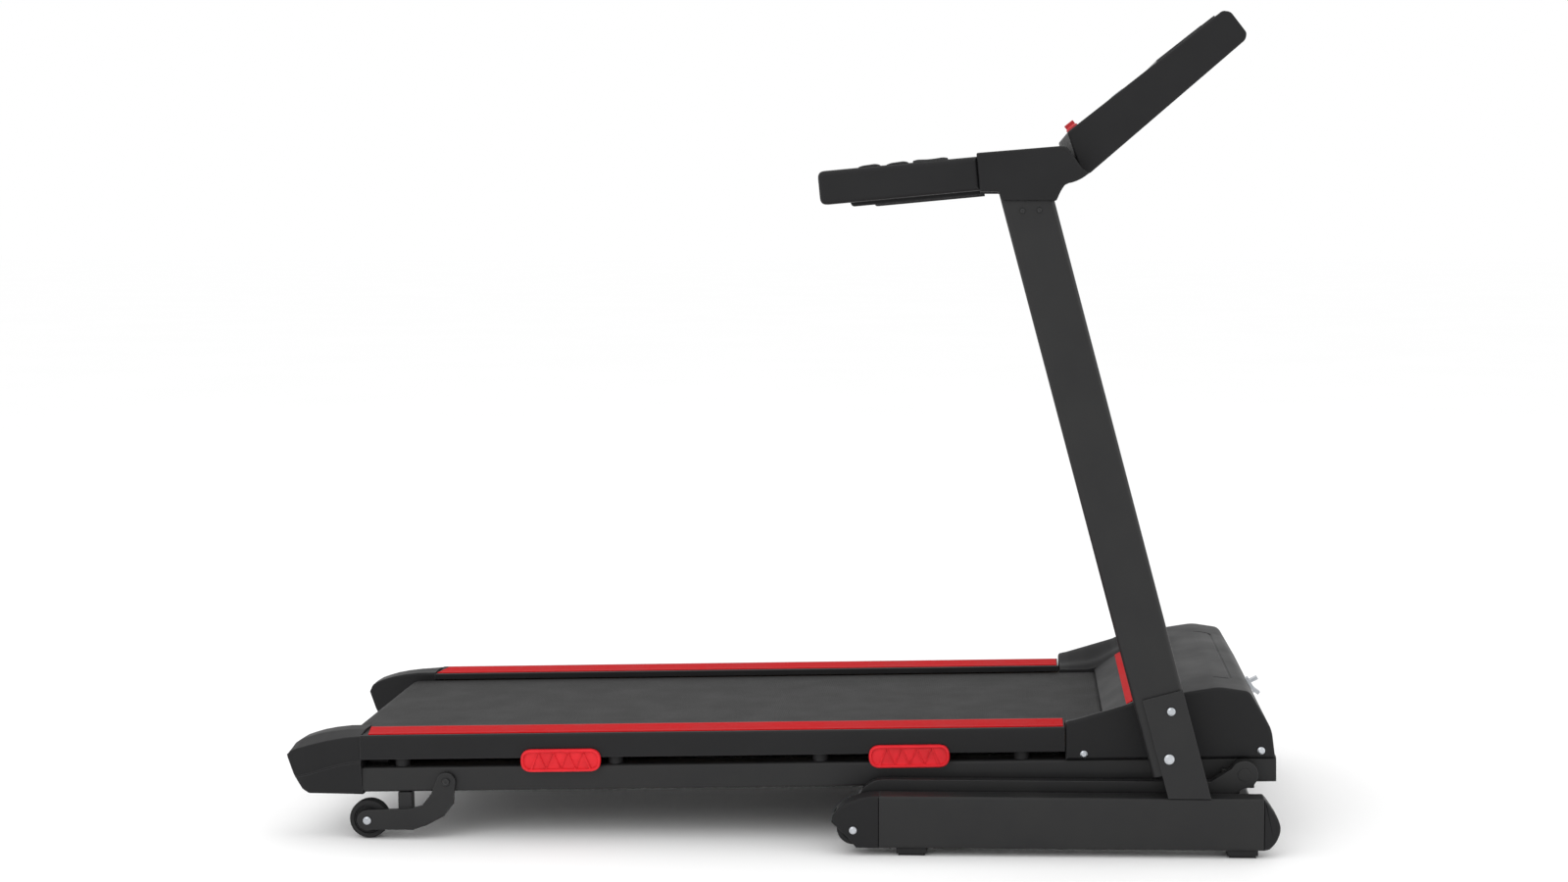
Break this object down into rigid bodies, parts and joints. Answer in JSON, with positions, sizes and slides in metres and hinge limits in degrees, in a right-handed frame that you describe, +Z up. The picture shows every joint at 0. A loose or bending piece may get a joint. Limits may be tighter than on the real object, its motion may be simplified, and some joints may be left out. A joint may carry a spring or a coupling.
{
  "type": "folding motorised treadmill",
  "caption": "Folding home treadmill with a flat powered running belt, raked uprights, tilted console, side hand rails and a power-incline base.",
  "frame": {"origin": "centre of the bounding box on the floor plane", "axes": "+X towards the motor hood and console, the way the runner faces; +Y to the runner's left; +Z up"},
  "size_m": [1.6021, 0.738, 1.3245],
  "materials": {
    "frame_paint": "satin powder coat, charcoal",
    "moulded_cover": "fine-grained moulded ABS, graphite",
    "rubber": "matte black rubber",
    "zinc_steel": "bright zinc plate",
    "red_plastic": "semi-gloss red",
    "red_elastomer": "satin red elastomer",
    "panel_film": "semi-gloss overlay",
    "lens": "gloss tinted display window",
    "button_silver": "satin silver",
    "button_green": "satin green",
    "belt": "PVC running belt with diamond emboss",
    "board": "resin-faced MDF",
    "circuit": "solder-masked board"
  },
  "bodies": {
    "base": {"base_side_tubes": "frame_paint", "base_crossbars": "frame_paint", "upright_brackets": "frame_paint", "base_end_caps": "moulded_cover", "base_feet": "rubber", "upright_left": "frame_paint", "upright_right": "frame_paint", "base_fasteners": "zinc_steel", "upright_cover_left": "moulded_cover", "upright_cover_right": "moulded_cover", "handle_left": "moulded_cover", "handle_right": "moulded_cover", "pulse_pads": "rubber", "console_crossbar": "frame_paint", "console_shell": "moulded_cover", "console_panel": "panel_film", "display_lens": "lens"},
    "lifting_frame": {"incline_arms": "frame_paint", "incline_crossbar": "frame_paint"},
    "fold_shaft": {"fold_shaft": "zinc_steel"},
    "deck": {"deck_side_tubes": "frame_paint", "deck_crossbars": "frame_paint", "side_rail_left": "moulded_cover", "side_rail_right": "moulded_cover", "red_trims": "red_plastic", "deck_board": "board", "deck_cushions": "red_elastomer", "rubber_blocks": "rubber", "running_belt": "belt", "roller_axles": "zinc_steel", "deck_end_cap_left": "moulded_cover", "deck_end_cap_right": "moulded_cover", "caster_arms": "frame_paint", "deck_fasteners": "zinc_steel", "motor_hood": "moulded_cover", "motor_body": "moulded_cover", "motor_tray": "frame_paint", "control_board": "circuit", "power_inlet": "rubber", "drive_belt": "rubber", "cord_cleat": "zinc_steel"},
    "transport_wheel_left": {"transport_wheel_left": "rubber"},
    "transport_wheel_right": {"transport_wheel_right": "rubber"},
    "speed_rocker": {"speed_rocker": "rubber"},
    "incline_rocker": {"incline_rocker": "rubber"},
    "start_button": {"start_button": "button_green"},
    "stop_button": {"stop_button": "red_plastic"},
    "mode_button": {"mode_button": "button_silver"},
    "program_button": {"program_button": "button_silver"},
    "safety_key": {"safety_key": "red_plastic"},
    "strut_cylinder": {"strut_cylinder": "moulded_cover"},
    "strut_rod": {"strut_rod": "zinc_steel"},
    "actuator_body": {"actuator_body": "moulded_cover"},
    "actuator_rod": {"actuator_rod": "zinc_steel"},
    "front_roller": {"front_roller": "zinc_steel"},
    "rear_roller": {"rear_roller": "zinc_steel"},
    "motor_rotor": {"motor_rotor": "zinc_steel"},
    "rear_wheel_left": {"rear_wheel_left": "rubber"},
    "rear_wheel_right": {"rear_wheel_right": "rubber"},
    "power_switch": {"power_switch": "red_plastic"}
  },
  "joints": [
    {"name": "incline_lift", "type": "hinge", "parent": "base", "child": "lifting_frame", "pos_m": [0.172, 0, 0.066], "axis": [0, -1, 0], "range_deg": [0, 12]},
    {"name": "level_follow", "type": "hinge", "parent": "lifting_frame", "child": "fold_shaft", "pos_m": [0.74525, 0, 0.124], "axis": [0, 1, 0], "range_deg": [0, 7.3]},
    {"name": "deck_fold", "type": "hinge", "parent": "fold_shaft", "child": "deck", "pos_m": [0.74525, 0, 0.124], "axis": [0, 1, 0], "range_deg": [0, 65]},
    {"name": "strut_swing", "type": "hinge", "parent": "fold_shaft", "child": "strut_cylinder", "pos_m": [0.73, -0.225, 0.035], "axis": [0, 1, 0], "range_deg": [0, 58.2]},
    {"name": "strut_extend", "type": "slide", "parent": "strut_cylinder", "child": "strut_rod", "axis": [-0.9895, 0, 0.1446], "range_m": [0, 0.0875]},
    {"name": "actuator_swing", "type": "hinge", "parent": "base", "child": "actuator_body", "pos_m": [0.7, 0.15, 0.035], "axis": [0, -1, 0], "range_deg": [0, 7.5]},
    {"name": "actuator_extend", "type": "slide", "parent": "actuator_body", "child": "actuator_rod", "axis": [-0.0555, 0, 0.9985], "range_m": [0, 0.111]},
    {"name": "front_roller_spin", "type": "hinge", "parent": "deck", "child": "front_roller", "pos_m": [0.5196, 0, 0.15567], "axis": [0, 1, 0], "continuous": true},
    {"name": "rear_roller_spin", "type": "hinge", "parent": "deck", "child": "rear_roller", "pos_m": [-0.70417, 0, 0.13218], "axis": [0, 1, 0], "continuous": true},
    {"name": "motor_spin", "type": "hinge", "parent": "deck", "child": "motor_rotor", "pos_m": [0.69, -0.12, 0.19], "axis": [0, 1, 0], "continuous": true},
    {"name": "rear_wheel_left_spin", "type": "hinge", "parent": "deck", "child": "rear_wheel_left", "pos_m": [-0.66975, 0.2725, 0.032], "axis": [0, 1, 0], "continuous": true},
    {"name": "transport_wheel_left_spin", "type": "hinge", "parent": "base", "child": "transport_wheel_left", "pos_m": [0.1245, 0.345, 0.042], "axis": [0, 1, 0], "continuous": true},
    {"name": "rear_wheel_right_spin", "type": "hinge", "parent": "deck", "child": "rear_wheel_right", "pos_m": [-0.66975, -0.2725, 0.032], "axis": [0, 1, 0], "continuous": true},
    {"name": "transport_wheel_right_spin", "type": "hinge", "parent": "base", "child": "transport_wheel_right", "pos_m": [0.1245, -0.345, 0.042], "axis": [0, 1, 0], "continuous": true},
    {"name": "speed_rocker_tilt", "type": "hinge", "parent": "base", "child": "speed_rocker", "pos_m": [0.24743, -0.3425, 1.08858], "axis": [0, 1, 0], "range_deg": [-4, 4], "stiffness_Nm_per_rad": 2},
    {"name": "incline_rocker_tilt", "type": "hinge", "parent": "base", "child": "incline_rocker", "pos_m": [0.24743, 0.3425, 1.08858], "axis": [0, 1, 0], "range_deg": [-4, 4], "stiffness_Nm_per_rad": 2},
    {"name": "power_switch_tilt", "type": "hinge", "parent": "deck", "child": "power_switch", "pos_m": [0.782, 0.02275, 0.168], "axis": [0, 1, 0], "range_deg": [-6, 6]},
    {"name": "start_press", "type": "slide", "parent": "base", "child": "start_button", "axis": [0.6157, 0, -0.788], "range_m": [0, 0.0015], "stiffness_N_per_m": 800},
    {"name": "stop_press", "type": "slide", "parent": "base", "child": "stop_button", "axis": [0.6157, 0, -0.788], "range_m": [0, 0.0015], "stiffness_N_per_m": 800},
    {"name": "mode_press", "type": "slide", "parent": "base", "child": "mode_button", "axis": [0.6157, 0, -0.788], "range_m": [0, 0.0015], "stiffness_N_per_m": 800},
    {"name": "program_press", "type": "slide", "parent": "base", "child": "program_button", "axis": [0.6157, 0, -0.788], "range_m": [0, 0.0015], "stiffness_N_per_m": 800},
    {"name": "safety_key_pull", "type": "slide", "parent": "base", "child": "safety_key", "axis": [-0.6157, 0, 0.788], "range_m": [0, 0.03]}
  ],
  "couplings": [
    {"joint": "level_follow", "follows": "incline_lift", "ratio": 0.60056},
    {"joint": "actuator_swing", "follows": "incline_lift", "ratio": 0.6032},
    {"joint": "actuator_extend", "follows": "incline_lift", "m_per_rad": 0.52011},
    {"joint": "strut_swing", "follows": "deck_fold", "ratio": 0.8886},
    {"joint": "strut_extend", "follows": "deck_fold", "m_per_rad": 0.076041},
    {"joint": "rear_roller_spin", "follows": "front_roller_spin", "ratio": 1},
    {"joint": "motor_spin", "follows": "front_roller_spin", "ratio": 1.7059}
  ]
}
